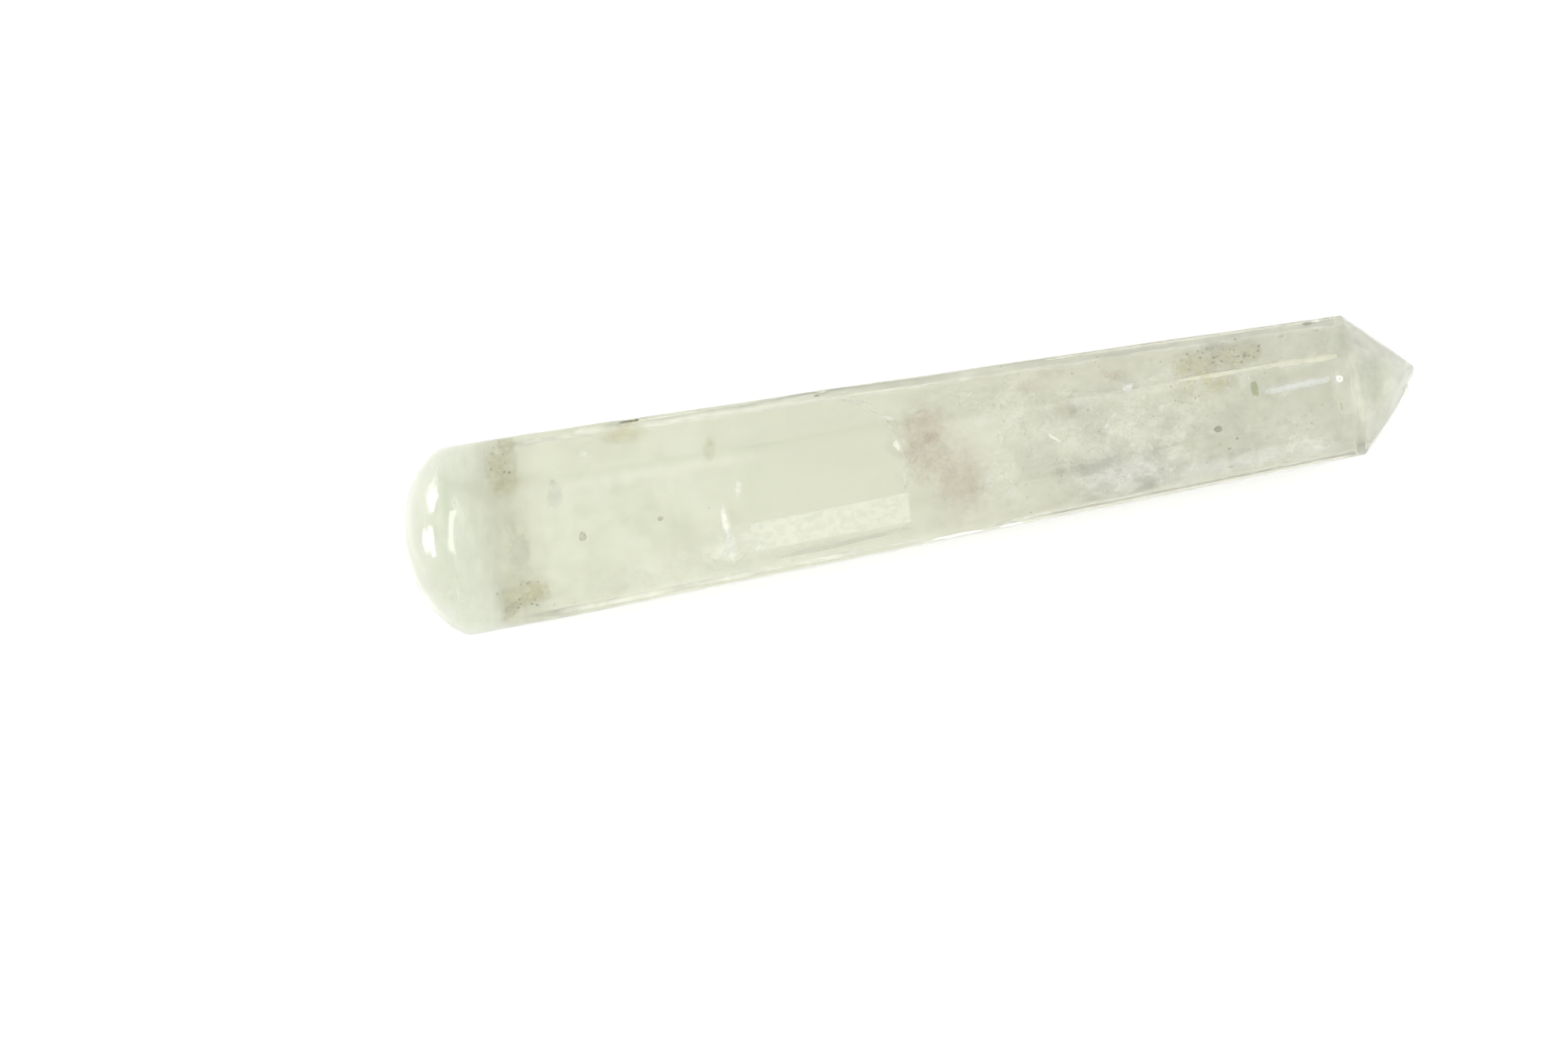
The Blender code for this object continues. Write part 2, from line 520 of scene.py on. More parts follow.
# The marks just under the polish, in millimetres and degrees. A row is along, across, half length,
# half width, turn, strength, squareness (2 if left out) and softness (1 if left out).
MARKS = dict(
    # The white rows paint highlights as well as milky patches: the streaks on the rounded end, the
    # glints, the bright bands along the lower flats, the bright dot and the upper ridge are painted
    # highlights.
    white=(
        (5.4, 6.9, 3.15, 0.69, 74, 0.5, 2, 0.9), (3.5, 0.5, 2.26, 0.79, 86, 0.55, 2, 0.9),
        (3.2, 4.6, 2.56, 0.49, 80, 0.2), (7.6, 0.8, 2.07, 0.64, 80, 0.42, 2, 0.9),
        (8.5, 4.4, 1.97, 0.44, 78, 0.22), (7.7, 9.9, 1.97, 0.49, 80, 0.22),
        (8.8, -8.4, 0.98, 0.69, 20, 0.34), (10.1, -9.4, 1.87, 0.49, 50, 0.34),
        (9.8, -4.5, 1.78, 0.89, 80, 0.24), (2.3, -3.5, 1.57, 0.89, 70, 0.26),
        (6.2, -6.2, 1.6, 1.1, 70, 0.2), (4.4, -9.6, 1.2, 0.8, 40, 0.22), (17.3, -4, 3.35, 0.3, 80, 0.16),
        (17.2, 1, 1.57, 0.3, 110, 0.14), (26.4, 7.9, 0.93, 0.84, 70, 0.24),
        (28.7, 5, 1.57, 0.44, 60, 0.13), (18.3, -10.5, 4.53, 0.49, 15, 0.16),
        (43.3, -3.9, 2.46, 0.54, 93, 0.5, 2, 0.9), (43.5, -6.8, 2.46, 0.98, 90, 0.5, 2, 0.9),
        (42.5, -7.8, 2.76, 0.89, -8, 0.38), (45.8, 0.2, 1.38, 0.59, 62, 0.38),
        (47.6, -5.9, 1.38, 0.49, 75, 0.34), (49.4, -5.6, 0.98, 0.49, 70, 0.28),
        (47.4, -7.9, 1.28, 0.59, 20, 0.3), (45.4, -7.3, 6.4, 2.76, 2, 0.2),
        (44, -10.1, 7.87, 0.89, 1, 0.14), (46.6, 7.9, 5.9, 2.36, -5, 0.08),
        (46.5, -10.7, 23.62, 0.49, 1.6, 0.2, 4, 0.9), (68, 2.2, 1.38, 0.74, 100, 0.34),
        (67.6, 5.9, 1.48, 0.44, -14, 0.3), (65.2, 8.5, 4.92, 0.89, -28, 0.12),
        (68.3, -1.1, 3.35, 0.39, 92, 0.16), (79.4, -4.1, 3.35, 1.38, 112, 0.2),
        (82.3, -6.7, 2.16, 1.38, -20, 0.2), (79.9, 2.8, 3.54, 2.36, 30, 0.1),
        (97.8, -6.6, 8.86, 2.36, 3, 0.34), (96.2, -7.3, 1.67, 0.79, 60, 0.2),
        (92.3, -2.7, 1.48, 0.89, 10, 0.16), (96.5, -2.9, 1.28, 0.98, 0, 0.16),
        (88.4, -0.2, 2.26, 0.34, -42, 0.2), (96.1, -0, 0.69, 0.49, 60, 0.3),
        (97.5, 1.1, 1.67, 0.3, 38, 0.2), (100.6, -1.6, 2.95, 1.57, -30, 0.08),
        (99.8, 4.5, 0.98, 0.59, 16, 0.7, 2, 0.7), (99.7, 4.8, 0.59, 0.49, 80, 0.5, 2, 0.8),
        (111.9, -7.9, 13.79, 1.58, 2, 0.4, 3), (124.4, -7.9, 6.4, 1.68, 4, 0.32),
        (122.4, -4.1, 6.89, 3.54, 2, 0.07), (123, 1, 5.51, 0.84, 1.5, 0.3, 5, 0.9),
        (128.1, 0.9, 0.74, 0.74, 0, 0.6, 2, 0.8), (117.6, 4.1, 11.61, 0.49, -0.8, 0.34, 6, 0.9),
        (125.1, 3.9, 3.54, 0.49, -1, 0.3, 3, 0.9),
    ),
    olive=(
        (15.1, 7.8, 4.43, 2.07, 92, 0.31, 4, 0.5), (14.2, 8.5, 1.18, 0.93, 90, 0.26),
        (14.4, 6, 1.87, 0.89, 85, 0.15), (16.1, 9.6, 1.87, 0.98, 95, 0.37),
        (16.7, 11.5, 1.18, 0.98, 60, 0.46), (15.6, 12.4, 1.08, 0.49, 0, 0.46),
        (16.1, 5, 1.28, 0.89, 80, 0.25), (14.7, -1.3, 6.1, 2.56, 92, 0.16, 4, 0.6),
        (12.5, -3.4, 1.57, 0.79, 70, 0.19), (15.3, -8.4, 3.74, 2.26, 10, 0.31, 4, 0.5),
        (16.4, -8.8, 1.48, 0.98, 0, 0.43), (18.1, -8.6, 0.79, 1.48, -5, 0.37),
        (13, -10.7, 2.26, 0.74, 28, 0.5), (12, -9.4, 2.16, 1.48, 20, 0.19),
        (17, -7, 1.97, 0.79, 5, 0.26), (43, 6.6, 0.93, 1.03, 60, 0.43), (42.8, 5, 2.96, 1.28, 76, 0.22),
        (43.5, 8.5, 1.57, 0.79, 80, 0.11), (32.1, 10.4, 3.74, 1.97, -2, 0.46, 3, 0.9),
        (32.9, 9.5, 0.98, 0.59, -10, 0.22), (33.5, 11.9, 1.77, 0.59, -6, 0.43),
        (28.4, 7.4, 1.97, 1.18, 0, 0.07), (109.8, 6.2, 3.05, 1.97, -12, 0.38, 4, 0.6),
        (112, 3.3, 2.66, 0.89, 0, 0.28, 3, 0.8), (114.3, 6.5, 2.95, 1.77, -6, 0.31, 3, 0.8),
        (118, 6.8, 1.48, 2.16, -20, 0.28, 3, 0.8), (99, 6.7, 2.26, 1.08, -20, 0.25),
        (98.5, 6.3, 0.59, 0.59, 0, 0.31), (90, 5.9, 0.89, 0.79, 0, 0.19),
        # Painted shade: the next two rows are a dark olive line along the upper outline.
        (27, 12.3, 19.68, 0.54, -1.4, 0.31, 6, 0.9), (9.1, 13.5, 4.92, 0.49, 2, 0.19),
    ),
    brown=(
        (72, 3.3, 2.85, 2.85, 20, 0.34, 3, 0.7), (72.1, 2.5, 0.98, 1.08, 80, 0.25),
        (69.7, 4.8, 1.18, 1.67, 0, 0.28), (69.6, 0.7, 2.56, 1.08, 90, 0.28),
        (70.8, -2.1, 2.36, 1.77, 70, 0.25), (73.6, -1.3, 2.36, 2.36, 0, 0.3),
        (75.1, -4.5, 3.35, 2.36, -40, 0.44, 3, 0.8), (76.8, -2.9, 2.85, 1.08, 104, 0.33),
        (75.4, -6.9, 1.48, 1.18, 0, 0.23), (76.3, -4.8, 0.98, 0.98, 0, 0.17),
        (31.3, 10.4, 3.54, 1.67, 0, 0.36), (87.1, 6.9, 3.15, 1.28, -14, 0.15),
        (90.4, 8.2, 3.35, 0.89, -6, 0.14), (90.6, 3.4, 1.87, 1.28, 0, 0.12),
        (85.3, 8.8, 2.16, 0.98, 0, 0.09), (103.2, -4.8, 2.56, 0.89, -4, 0.11),
    ),
    grey=(
        (16.4, -3, 2.85, 0.98, 80, 0.34, 2, 0.9), (15.7, -4.4, 1.57, 1.57, 0, 0.27),
        (12.5, -3.4, 1.38, 0.79, 70, 0.19), (8.4, -2.8, 0.98, 0.79, 0, 0.12),
        (7.2, -5, 0.89, 0.79, 0, 0.12), (21.6, 3.2, 1.87, 1.13, 70, 0.38),
        (24.1, -2.7, 1.08, 0.89, 70, 0.22), (27.5, 3.2, 1.67, 0.79, 80, 0.11),
        (34.6, -2.2, 1.08, 0.89, 0, 0.14), (31.3, -4.9, 1.18, 0.59, 0, 0.11),
        (20.9, 0.4, 1.38, 2.76, 0, 0.11), (57.3, -9.3, 11.81, 0.34, 1.6, 0.34, 4, 0.9),
        (61.2, 0.9, 6.89, 3.15, 0, 0.06), (72.1, 2.5, 0.54, 0.69, 80, 0.26),
        (85.8, -2.4, 3.15, 2.86, 0, 0.26, 4, 0.7), (91.1, -4.3, 4.92, 1.38, -4, 0.22),
        (83.4, 2.4, 2.56, 1.38, 20, 0.14), (88.6, 2.8, 2.95, 2.36, -20, 0.19),
        (93.7, 1.4, 1.97, 2.95, 10, 0.15), (97, 1.4, 1.38, 0.98, 60, 0.22),
        (98.5, 6.5, 1.57, 1.28, 0, 0.17), (104.1, 0.3, 3.15, 1.57, 10, 0.12),
        (108.7, -2, 4.33, 1.57, -4, 0.14), (113.6, 8.2, 1.77, 0.98, -10, 0.32),
        (112.2, 8.9, 0.79, 0.49, 30, 0.26), (122.8, 7.8, 0.89, 0.59, -10, 0.38),
        (127.6, 7.9, 0.89, 0.49, 20, 0.3), (126.7, 9.5, 1.38, 0.49, 0, 0.45),
        (114.1, -4.6, 1.08, 0.34, -45, 0.3), (133.6, 2.2, 2.56, 0.89, 76, 0.32),
        (131.7, 5.1, 0.89, 0.79, 0, 0.24), (130.2, -1.3, 1.18, 0.98, 0, 0.12),
        (120.4, -2.7, 7.87, 2.36, 0, 0.09), (93, -8.9, 13.78, 0.39, 1.2, 0.15, 4),
    ),
    green=(
        (6.8, 4.4, 6.49, 0.98, 83, 0.31, 3), (5.6, -1.1, 1.57, 0.89, 80, 0.25),
        (4.7, -7.8, 1.38, 0.79, 20, 0.14), (8.4, -3.1, 5.41, 5.9, 0, 0.09),
        (43.5, -10.4, 5.9, 0.79, 1, 0.2), (116.8, 1.6, 1.48, 0.84, 84, 0.77, 2, 0.9),
        (117.8, 3.5, 0.69, 0.89, 60, 0.32), (118.8, 7.1, 1.08, 1.48, -20, 0.23),
        (112.7, -8, 1.48, 0.54, 6, 0.38), (109.6, -5.4, 1.18, 0.59, -8, 0.2),
        (128.2, -3, 1.67, 0.59, 84, 0.27), (131.7, -1, 0.69, 0.59, 0, 0.27),
        (98.8, 9, 2.95, 0.69, 0, 0.13), (128.4, 5.8, 1.97, 1.57, 0, 0.11),
    ),
)


def marks(points, rows, seed):
    """How strongly a kind of mark shows at each point on the upper side: the strongest of its rows.
    With u and v the shares of the half length and half width, a row's r = (|u|^squareness +
    |v|^squareness)^(1 / squareness), made uneven by a ripple, and it shows as strength x an eased
    step of (1 - r) / softness."""
    along, across, up = points.T / MM
    total = np.zeros(len(points))
    for number, row in enumerate(filled(rows, 6, 2, 1)):
        x, y, long, wide, turn, strength, square, soft = row
        c, s = math.cos(math.radians(turn)), math.sin(math.radians(turn))
        u = ((along - x) * c + (across - y) * s) / long
        v = ((across - y) * c - (along - x) * s) / wide
        near = (np.abs(u) < 1.5) & (np.abs(v) < 1.5)  # farther off it has faded
        r = (np.abs(u[near]) ** square + np.abs(v[near]) ** square) ** (1 / square)
        r *= 1 + 0.16 * ripple(points[near] * [1, 1, 0], 2.2 * MM * min(long, wide, 2.0), seed + number)
        total[near] = np.maximum(total[near], strength * ease(1 - r, 0.0, soft))
    return total * ease(up, 0.0, 2.0)


def rims(points):
    """Pale lines that paint highlights on the edges, and dark lines that paint shade along the outline.
    A line shows as strength x an eased step of 1 - the distance inside the outline / its width. The
    rounded end's own dark line follows its ellipse. The pale tip comes with the pale lines."""
    along, across = points[:, 0], points[:, 1]
    inside = section(along, np.full(along.shape, np.pi / 2)) - np.abs(across)

    def line(side, width, strength, *stretches):
        shows = strength * ease(1 - np.where(side * across > 0, inside, 1.0) / width, 0.0, 1.0)
        for stretch in stretches:
            shows = shows * ease(along, *stretch)
        return shows

    point = (0.1290, 0.1315)
    # Painted highlights on the edges, and the paler tip.
    pale = (line(-1, 0.0007, 0.34, (0.064, 0.072)), line(1, 0.0005, 0.26, (0.085, 0.100)),
            line(-1, 0.0014, 0.50, point), line(1, 0.0010, 0.34, point),
            0.30 * ease(along, 0.1350, 0.1385))
    s = shape()
    back = np.maximum((s.round_end_depth - along) / s.round_end_depth, 0.0)
    end = ease(np.hypot(back, across / s.round_end_radius), 0.950, 0.985)
    end *= ease(along, 0.0100, 0.0070)
    end *= np.where(across < -0.0015, 0.70, 0.35 + 0.25 * ease(across, 0.004, 0.009))
    # Painted shade: dark lines along the rounded end's outline and the upper and lower outline.
    dark = (end, line(1, 0.0005, 0.75, (0.004, 0.010), (0.076, 0.060)),
            line(-1, 0.0005, 0.65, (0.005, 0.009), (0.030, 0.020)))
    uneven = 0.85 + 0.3 * ripple(points, 0.004, 44)
    return np.maximum.reduce(pale), np.maximum.reduce(dark) * uneven


def olive_ring(points):
    """The stained ring behind the rounded end: 0 outside 11.2 to 19.0 mm, with a wavy inner edge."""
    along, wave = points[:, 0], 0.0004 * ripple(points, 0.007, 33)
    ring = ease(along, 0.0112, 0.0135 + wave) * ease(along, 0.0190, 0.0156 + wave)
    return ring * (0.11 + 0.10 * ripple(points, 0.006, 34))


def all_marks(points):
    """How strongly each kind of mark shows at each point, the ring and the painted outline highlights
    and shade among them.
    """
    found = {}
    for order, (key, rows) in enumerate(MARKS.items()):
        found[key] = marks(points, rows, seed=100 * order)
    # The pale lines join the white mark as painted highlights; the dark ones are the rim mark of painted
    # shade.
    pale, found["rim"] = rims(points)
    found["white"] = np.maximum(found["white"], pale)
    found["olive"] = np.maximum(found["olive"], olive_ring(points))
    return found


def crystal_finish():
    """Polished quartz: see-through and a little milky, finely mottled except in its clear middle, marked
    just under the polish with stains, milky patches, painted highlights and a painted dark outline of
    shade, duller in a ring behind the rounded end, greyer and more grainy towards the point."""
    n = Nodes("quartz")
    c = look()
    along = n.along()
    clear = along.spread(0.0445, 0.049) * along.spread(0.072, 0.066)
    busy = 1.0 - clear * 0.8
    clouds = n.noise(120.0, 4.0, 0.55, bend=0.2)
    mottle = n.noise(480.0, 2.0, 0.5, shift=(0.3, 0.1, 0.2))
    grain = n.noise(1000.0, 3.0, 0.6, shift=(0.9, 0.4, 0.7), bend=0.4)
    uneven = (clouds.times(0.6, plus=mottle * 0.4) - 0.5) * busy

    # The tint: smokier and more grainy towards the point, lighter at the rounded end.
    tint = n.mix(along.spread(0.045, 0.105), c.quartz, c.smoke)
    tint = n.mix(uneven.times(-1.00, plus=0.06).clamped(), tint, (0.62, 0.62, 0.50))
    grainy = along.spread(0.067, 0.080, 0.12, 1.0) * grain.spread(0.44, 0.66, 0.0, 0.20)
    tint = n.mix(grainy, tint, (0.72, 0.70, 0.60))
    patchy = mottle.times(0.5, plus=grain * 0.5).spread(0.34, 0.62, 0.62, 1.15)
    tint = n.mix(along.spread(0.0125, 0.0090, 0.0, 0.55), tint, (0.96, 1.0, 0.90))

    # The marks, the white ones last. The rim mark is painted shade along the outline, and the white mark
    # holds painted highlights as well as milky patches.
    for key, colour in (("grey", c.grey), ("green", c.green), ("brown", c.rust), ("olive", c.stain),
                        ("rim", c.rim)):
        tint = n.mix((n.attribute(key) * patchy).clamped(), tint, colour)
    white = n.attribute("white") * grain.spread(0.35, 0.65, 0.85, 1.12)
    tint = n.mix((white * 1.7).clamped(), tint, (1.0, 1.0, 0.97))

    # Milkier where it is mottled or marked white, which includes the painted highlights, and at the
    # rounded end, up to a limit.
    milk = uneven.times(0.30, plus=c.milkiness) + along.spread(0.0135, 0.0085, 0.0, 0.03)
    milk = white.times(0.10, plus=milk).at_most(0.24)

    # Polished in patches, duller on the rounded end and in the ring behind it.
    ring = along.spread(0.0110, 0.0140) * along.spread(0.0195, 0.0160)
    dull = ring.times(0.03, plus=along.spread(0.013, 0.009, 0.0, 0.04))
    n.set(Base_Color=tint, Roughness=mottle.spread(0.35, 0.75, 0.05, 0.12) + dull, IOR=1.544,
          Transmission_Weight=(1.0 - milk).clamped())
    turned = n.noise(900.0, 2.0, 0.5, stretch=(1.0, 0.12, 0.12)) * along.spread(0.024, 0.012)
    n.bump(mottle * 0.25 + turned, distance=0.00004, strength=0.25)
    absorb = n.field("VolumeAbsorption", 0, Color=(0.88, 0.90, 0.80), Density=5.0)
    n.put(n.tree.nodes["Material Output"].inputs["Volume"], absorb)
    return n.material


class WAND_OT_crystal(bpy.types.Operator):
    """Make the polished outside of the crystal"""

    bl_idname = "wand.crystal"
    bl_label = "Crystal"

    def execute(self, context):
        points = crystal_surface()
        rows, columns = points.shape[:2]
        poles = points[[0, -1]].mean(axis=1)
        points = np.concatenate([points[1:-1].reshape(-1, 3), poles])
        crystal = mesh_piece("crystal", lay_down(points), capped_faces(rows - 2, columns),
                             crystal_finish(), **all_marks(points))
        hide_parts("wand")
        return {"FINISHED"}


# ---------------------------------------------------------------- what is inside


# The finishes of the thin layers inside. A row is two tints, each three numbers or a setting's
# name, the features of noise per metre, the two levels of noise between which the layer thickens,
# its strength, the share that stays where it is thin, how much it mirrors (0 if left out) and how
# the noise is stretched (evenly if left out).
LAYERS = dict(
    olive_stain=((0.43, 0.43, 0.16), (0.66, 0.62, 0.33), 620, 0.36, 0.62, 0.88, 0.3),
    grey_stain=((0.52, 0.51, 0.36), (0.62, 0.61, 0.46), 620, 0.34, 0.62, 0.34, 0.15, 0, (1, 0.35, 0.35)),
    rust=((0.50, 0.40, 0.28), (0.70, 0.60, 0.47), 640, 0.36, 0.62, 0.95, 0.35),
    milky_cloud=((0.90, 0.91, 0.85), "cloud", 560, 0.38, 0.62, 0.58, 0.1, 0, (0.8, 1, 1)),
    grey_cloud=((0.50, 0.50, 0.43), (0.60, 0.60, 0.53), 620, 0.38, 0.62, 0.55, 0.15),
    grey_haze=((0.56, 0.57, 0.51), (0.62, 0.63, 0.57), 300, 0.35, 0.65, 1, 0.8),
    point_haze=((0.78, 0.80, 0.72), (0.86, 0.88, 0.81), 300, 0.35, 0.65, 1, 0.8),
    # The mirror finishes below also carry painted highlights: on the rounded end, the glint dot, and the
    # band and sheen on the lower flats.
    crack_and_highlight_mirror=("glint", (1.0, 1.0, 0.97), 700, 0.30, 0.60, 0.88, 0.4, 1),
    painted_sheen_mirror=((0.95, 0.97, 0.86), (1.0, 1.0, 0.93), 600, 0.36, 0.62, 0.6, 0.35, 1),
    highlight_band_mirror=("glint", (1.0, 1.0, 0.97), 700, 0.36, 0.62, 0.8, 0.73, 1),
    pale_front=("glint", (1.0, 1.0, 0.97), 500, 0.30, 0.66, 0.6, 0.3, 1),
    polish_haze=((0.82, 0.86, 0.72), (0.97, 1.0, 0.90), 900, 0.34, 0.66, 0.9, 0.1, 0.6, (1, 0.12, 0.12)),
)
# The finishes of the solid grains and tubes: two tints, roughness, how much they mirror.
GRAINS = dict(
    pale_tube=((0.80, 0.84, 0.86), (0.88, 0.91, 0.93), 0.35, 0),
    # The bright dot paints a glint, and the cream line and pale edge paint edge highlights.
    painted_glint_dot=("glint", (1.0, 1.0, 0.98), 0.35, 1),
    ridge_highlight_cream=((0.88, 0.87, 0.68), (0.94, 0.93, 0.79), 0.35, 0),
    edge_highlight_pale=((0.95, 0.95, 0.86), (1.0, 1.0, 0.95), 0.35, 0),
    dark_grain=("speck", (0.26, 0.25, 0.14), 0.5, 0),
    soft_grain=((0.55, 0.54, 0.40), (0.67, 0.65, 0.50), 0.5, 0),
    green_grain=((0.34, 0.38, 0.17), (0.46, 0.48, 0.26), 0.5, 0),
)


def tint_of(value):
    """A tint from a table, which may be the name of a setting."""
    return getattr(look(), value) if isinstance(value, str) else value


def layer_finish(name):
    """A layer of tiny grains or bubbles: two tints mixed by noise, thinner where the noise is low and
    see-through where the layer itself thins out. A crack's layer mirrors the light."""
    row = filled([LAYERS[name]], 7, 0, (1, 1, 1))[0]
    colour, shade, scale, low, high, strength, thin, mirror, stretch = row
    n = Nodes(name)
    coarse = n.noise(scale, 3.0, 0.5, stretch=stretch, bend=0.3)
    fine = n.noise(scale * 3.3, 2.0, 0.5, shift=(0.7, 0.2, 0.4))
    mixed = coarse.times(0.82, plus=fine * 0.18)
    cover = n.attribute("thickness") * mixed.spread(low, high, thin, 1.0)
    n.set(Base_Color=n.mix(mixed.spread(low, high + 0.1), tint_of(colour), tint_of(shade)),
          Roughness=0.55 - 0.2 * mirror, Metallic=mirror, Specular_IOR_Level=0.2,
          Alpha=(cover * strength).clamped())
    return n.material


def grain_finish(name):
    """Mineral grains, two tints mottled together."""
    colour, shade, roughness, mirror = GRAINS[name]
    n = Nodes(name)
    n.set(Base_Color=n.mix(n.noise(1800.0).spread(0.4, 0.6), tint_of(colour), tint_of(shade)),
          Roughness=n.noise(2500.0).spread(0.3, 0.7, roughness - 0.1, roughness + 0.15),
          Metallic=mirror)
    n.bump(n.noise(2600.0, 2.0), distance=0.00005, strength=0.4)
    return n.material


def leaves(name, table, finish, size=41, soft=0.8, lumps=0.22):
    """Soft-edged leaves inside the crystal, each a grid a, b from -1 to 1 stretched to its half
    length and half width, turned, bent up and down by a slow ripple, and set at its level. Thickness
    = strength x an eased step of (1 - r) / soft, with r = (|a|^squareness + |b|^squareness) x
    (1 + lumps x a ripple). A row, in millimetres and degrees, is along, across, half length, half
    width, turn, depth, strength, squareness (2 if left out) and level (1 if left out)."""
    line = np.linspace(-1.0, 1.0, size)
    a, b = np.meshgrid(line, line, indexing="ij")
    points, faces, thickness = [], [], []
    for number, row in enumerate(filled(table, 7, 2, 1)):
        along, across, long, wide, turn, depth, strength, square, level = row
        c, s = math.cos(math.radians(turn)), math.sin(math.radians(turn))
        plan = MM * np.stack([along + a * long * c - b * wide * s,
                              across + a * long * s + b * wide * c], axis=-1)
        uneven = 1 + lumps * ripple(plan, 1.1 * MM * min(long, wide), seed=number + 11)
        r = (np.abs(a) ** square + np.abs(b) ** square) * uneven
        bend = level + 0.06 * ripple(plan, 0.012, seed=number + 51)
        points.append(under(plan[..., 0], plan[..., 1], depth * MM, np.clip(bend, -1.0, 1.0)))
        faces.append(grid_faces(size, size) + number * size * size)
        rim = ease(1 - np.maximum(np.abs(a), np.abs(b)), 0.0, 0.1)
        thickness.append(strength * ease(1 - r, 0.0, soft) * rim)
    return mesh_piece(name, lay_down(np.array(points)), np.concatenate(faces).tolist(),
                      layer_finish(finish), thickness=np.array(thickness))


def strands(name, table, finish):
    """Slim tubes along straight or bent paths under the surface: at each share t of the path the
    radius is its own x (1 - (2t - 1)^8)^(1/2), closed at both ends. A row, in millimetres, is the
    path's places along and across, its radius and its depth."""
    points, faces, steps, around = [], [], 40, 10
    t = np.linspace(0.0, 1.0, steps)
    turn = np.linspace(0, 2 * np.pi, around, endpoint=False)
    for number, (path, thick, depth) in enumerate(table):
        share = np.linspace(0.0, 1.0, len(path))
        along, across = (MM * np.interp(t, share, line) for line in zip(*path))
        middle = under(along, across, depth * MM)
        way = np.gradient(middle, axis=0)
        way /= np.linalg.norm(way, axis=-1, keepdims=True)
        side = np.cross(way, [0.0, 0.0, 1.0])
        side /= np.linalg.norm(side, axis=-1, keepdims=True)
        up = np.cross(side, way)
        radius = thick * MM * np.sqrt(np.clip(1 - (2 * t - 1) ** 8, 0.0, 1.0))
        radius = (radius * (1 + 0.25 * ripple(middle, 0.003, seed=number)))[:, None, None] + 1e-6
        ring = (np.cos(turn)[None, :, None] * side[:, None] + np.sin(turn)[None, :, None] * up[:, None])
        points.append((middle[:, None] + radius * ring).reshape(-1, 3))
        base = number * steps * around
        faces += (grid_faces(steps, around, wrap=True)[:, ::-1] + base).tolist()
        faces.append((base + np.arange(around)).tolist())
        faces.append((base + (steps - 1) * around + np.arange(around)[::-1]).tolist())
    return mesh_piece(name, lay_down(np.concatenate(points)), faces, grain_finish(finish))


def grains(name, table, finish):
    """Small lumpy grains: spheres of 9 x 8 parameters, stretched along and across, with the radius
    x (1 + 0.3 ripple). A row, in millimetres, is along, across, half length, half width, depth and
    level (1 if left out)."""
    rings, around = 7, 8
    tilt = np.linspace(0.0, np.pi, rings + 2)[1:-1, None]
    turn = np.linspace(0, 2 * np.pi, around, endpoint=False)[None, :]
    ball = np.stack([np.sin(tilt) * np.cos(turn), np.sin(tilt) * np.sin(turn),
                     np.cos(tilt) + 0 * turn], axis=-1).reshape(-1, 3)
    ball = np.concatenate([ball, [[0, 0, 1.0]], [[0, 0, -1.0]]])
    shell = [face[::-1] for face in capped_faces(rings, around)]
    rows = np.array(filled(table, 5, 1.0))
    along, across, long, wide, depth = rows[:, :5].T * MM
    centre = under(along, across, depth, rows[:, 5])
    size = np.stack([long, wide, np.minimum(long, wide)], axis=-1)
    own = along[:, None, None] * 900  # moves each grain to its own part of the ripple
    lump = 1 + 0.3 * ripple(ball + own, 2.2, seed=5)[..., None]
    points = centre[:, None] + size[:, None] * ball * lump
    faces = [tuple(corner + number * len(ball) for corner in face)
             for number in range(len(rows)) for face in shell]
    return mesh_piece(name, lay_down(points), faces, grain_finish(finish))


class WAND_OT_stains(bpy.types.Operator):
    """Make the olive stains: behind the rounded end, on the upper edge and by the point"""

    bl_idname = "wand.stains"
    bl_label = "Stains"

    # Rows as leaves() reads them, here and in the other operators.
    PATCHES = (
        (13.9, 7.8, 1.3, 3.6, 4, 0.7, 0.52, 3), (15.8, 8.4, 1.4, 4.4, -6, 0.9, 0.34, 3),
        (16, 11.4, 1.3, 1.8, 0, 0.6, 0.7, 2.4), (14.7, -8.6, 3.4, 1.6, 8, 0.7, 0.42, 3),
        (16.8, -8.6, 1.9, 1.6, 8, 0.9, 0.55, 3), (13.1, -10.4, 2.4, 0.9, 28, 0.6, 0.8, 2.4),
        (109.3, 6.1, 3.2, 2.1, -6, 0.8, 0.6, 3.4), (110.8, 3.2, 4.6, 1.4, -2, 0.8, 0.8, 2.6),
        (114.2, 6.3, 3.4, 2.2, -4, 0.6, 0.55, 2.8), (117.6, 6.4, 1.6, 2, 20, 0.8, 0.45, 2.4),
        (32, 10, 3.8, 1.6, -3, 0.6, 0.22, 2.4), (33, 11.5, 2, 0.7, -4, 0.4, 0.6, 2.4),
        (43, 6.2, 1.1, 2.2, -16, 0.8, 0.26), (43.1, 6.7, 0.6, 0.7, 0, 0.8, 0.3),
    )

    def execute(self, context):
        leaves("stain_patches", self.PATCHES, "olive_stain", lumps=0.10)
        self.band()
        return {"FINISHED"}

    def band(self):
        """A thin stained layer all the way round behind the rounded end: thickness = a bell curve of
        the distance along, made uneven round the axis by a ripple."""
        first, middle, last, half_width = 0.0113, 0.0149, 0.0192, 0.0019
        along = np.linspace(first, last, 33)[:, None]
        points = skin(along, np.linspace(0, 2 * np.pi, 160, endpoint=False)[None, :], 0.0009)
        wave = ripple(points, 0.009, 21)
        bell = np.exp(-((along - middle - 0.0006 * wave) / half_width) ** 2)
        thickness = bell * (0.8 + 0.3 * wave) * ease(along, first, 0.0122) * ease(along, last, 0.0180)
        sheet("stain_band", points, layer_finish("grey_stain"), thickness, wrap=True)


